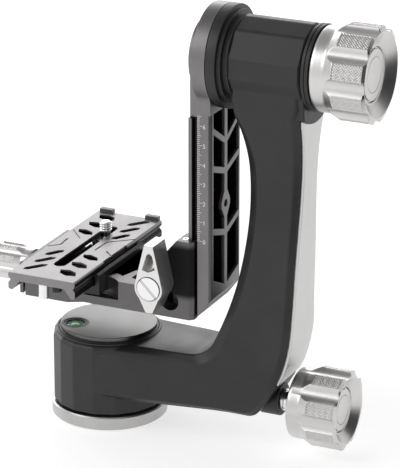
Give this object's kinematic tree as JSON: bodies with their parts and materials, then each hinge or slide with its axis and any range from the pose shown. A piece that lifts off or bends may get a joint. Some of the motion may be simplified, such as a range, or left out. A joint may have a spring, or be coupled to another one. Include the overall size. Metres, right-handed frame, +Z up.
{
  "type": "gimbal tripod head",
  "caption": "Gimbal tripod head with a panning base, a curved side arm, a tilting swing rail, a sliding L-shaped platform and a quick release plate, locked by fluted knobs.",
  "frame": {"origin": "centre of the base plate's bottom face, at the mouth of the tripod thread", "axes": "+Z up along the pan axis; +X towards the arm, along the tilt axis; +Y the way a lens on the plate points, away from the picture's camera"},
  "size_m": [0.2103, 0.1017, 0.2264],
  "materials": {
    "base_metal": "satin turned",
    "steel": "turned",
    "dark_screw": "blackened",
    "brass": "turned",
    "bearing_steel": "ground",
    "arm_coat": "satin, dark grey anodised",
    "inlay_metal": "satin brushed",
    "black_plastic": "matte",
    "level_fluid": "liquid",
    "clear_lens": "clear",
    "shoe_plastic": "matte",
    "knob_metal": "satin turned and knurled",
    "cap_metal": "satin turned",
    "polished_steel": "polished",
    "rail_coat": "satin, dark grey anodised",
    "bracket_metal": "satin, bead blasted",
    "jaw_coat": "satin black",
    "lever_metal": "satin",
    "plate_metal": "satin, bead blasted",
    "tab_coat": "satin"
  },
  "bodies": {
    "base": {"base_plate": "base_metal", "tripod_bush": "steel", "pan_spindle": "steel", "spindle_screws": "dark_screw", "pan_brake_drum": "brass", "pan_lower_inner_race": "bearing_steel", "pan_upper_inner_race": "bearing_steel", "pan_ring_nut": "steel"},
    "arm": {"arm": "arm_coat", "arm_inlay": "inlay_metal", "thrust_flange": "arm_coat", "friction_ring": "black_plastic", "pan_cap": "cap_metal", "level_cup": "black_plastic", "level_fluid": "level_fluid", "level_lens": "clear_lens", "pan_lower_outer_race": "bearing_steel", "pan_upper_outer_race": "bearing_steel", "tilt_inner_end_outer_race": "bearing_steel", "tilt_outer_end_outer_race": "bearing_steel", "pan_lock_socket": "black_plastic"},
    "pan_rod": {"pan_lock_rod": "steel", "pan_brake_shoe": "shoe_plastic"},
    "pan_knob": {"pan_knob": "knob_metal", "pan_knob_cap": "cap_metal", "pan_knob_stud": "polished_steel"},
    "swing": {"swing_rail": "rail_coat", "tilt_shaft": "steel", "shaft_screws": "dark_screw", "tilt_inner_end_inner_race": "bearing_steel", "tilt_outer_end_inner_race": "bearing_steel", "rail_stop_screws": "dark_screw"},
    "tilt_washer": {"thrust_washer": "shoe_plastic"},
    "tilt_knob": {"tilt_knob": "knob_metal", "tilt_knob_cap": "cap_metal", "tilt_knob_insert": "brass"},
    "carriage": {"platform_bracket": "bracket_metal", "fixed_jaw": "jaw_coat", "clamp_screws": "dark_screw", "stop_pin": "polished_steel", "guide_pins": "steel", "jaw_springs": "steel", "leg_screw": "polished_steel"},
    "rail_jaw": {"rail_jaw": "rail_coat"},
    "lever": {"lock_lever": "lever_metal", "lever_screw": "polished_steel", "lock_bolt": "steel"},
    "clamp_jaw": {"clamp_jaw": "bracket_metal"},
    "clamp_knob": {"clamp_knob": "knob_metal", "clamp_screw": "steel"},
    "plate": {"quick_release_plate": "plate_metal", "plate_tabs": "tab_coat", "plate_stop_screws": "dark_screw"},
    "camera_washer": {"camera_screw_washer": "steel"},
    "camera_screw": {"camera_screw": "polished_steel"}
  },
  "joints": [
    {"name": "pan", "type": "hinge", "parent": "base", "child": "arm", "pos_m": [0, 0, 0.025], "axis": [0, 0, 1], "continuous": true},
    {"name": "pan_knob_turn", "type": "hinge", "parent": "pan_rod", "child": "pan_knob", "pos_m": [0.11, 0, 0.0229], "axis": [1, 0, 0], "range_deg": [0, 360]},
    {"name": "pan_lock_travel", "type": "slide", "parent": "arm", "child": "pan_rod", "axis": [1, 0, 0], "range_m": [0, 0.00125]},
    {"name": "tilt", "type": "hinge", "parent": "arm", "child": "swing", "pos_m": [0.09, 0, 0.2004], "axis": [1, 0, 0], "continuous": true},
    {"name": "tilt_knob_turn", "type": "hinge", "parent": "tilt_washer", "child": "tilt_knob", "pos_m": [0.12, 0, 0.2004], "axis": [1, 0, 0], "range_deg": [0, 360]},
    {"name": "tilt_lock_travel", "type": "slide", "parent": "swing", "child": "tilt_washer", "axis": [1, 0, 0], "range_m": [0, 0.00125]},
    {"name": "carriage_height", "type": "slide", "parent": "swing", "child": "carriage", "axis": [0, 0, 1], "range_m": [0, 0.06]},
    {"name": "lever_turn", "type": "hinge", "parent": "carriage", "child": "lever", "pos_m": [0.0402, -0.029, 0.0856], "axis": [0, -1, 0], "range_deg": [0, 90]},
    {"name": "rail_jaw_travel", "type": "slide", "parent": "carriage", "child": "rail_jaw", "axis": [0, 1, 0], "range_m": [0, 0.0003125]},
    {"name": "clamp_knob_turn", "type": "hinge", "parent": "clamp_jaw", "child": "clamp_knob", "pos_m": [-0.05, 0, 0.0728], "axis": [-1, 0, 0], "range_deg": [0, 540]},
    {"name": "clamp_jaw_travel", "type": "slide", "parent": "carriage", "child": "clamp_jaw", "axis": [-1, 0, 0], "range_m": [0, 0.003]},
    {"name": "plate_slide", "type": "slide", "parent": "carriage", "child": "plate", "axis": [0, 1, 0], "range_m": [-0.016, 0.012]},
    {"name": "camera_washer_slide", "type": "slide", "parent": "plate", "child": "camera_washer", "axis": [0, 1, 0], "range_m": [-0.048, 0.003]},
    {"name": "camera_screw_turn", "type": "hinge", "parent": "camera_washer", "child": "camera_screw", "pos_m": [-0.01345, 0.024, 0.085], "axis": [0, 0, 1], "continuous": true}
  ],
  "couplings": [
    {"joint": "pan_knob_turn", "follows": "pan_lock_travel", "rad_per_m": 5026.5},
    {"joint": "tilt_knob_turn", "follows": "tilt_lock_travel", "rad_per_m": 5026.5},
    {"joint": "lever_turn", "follows": "rail_jaw_travel", "rad_per_m": 5026.5},
    {"joint": "clamp_knob_turn", "follows": "clamp_jaw_travel", "rad_per_m": 3141.6}
  ]
}
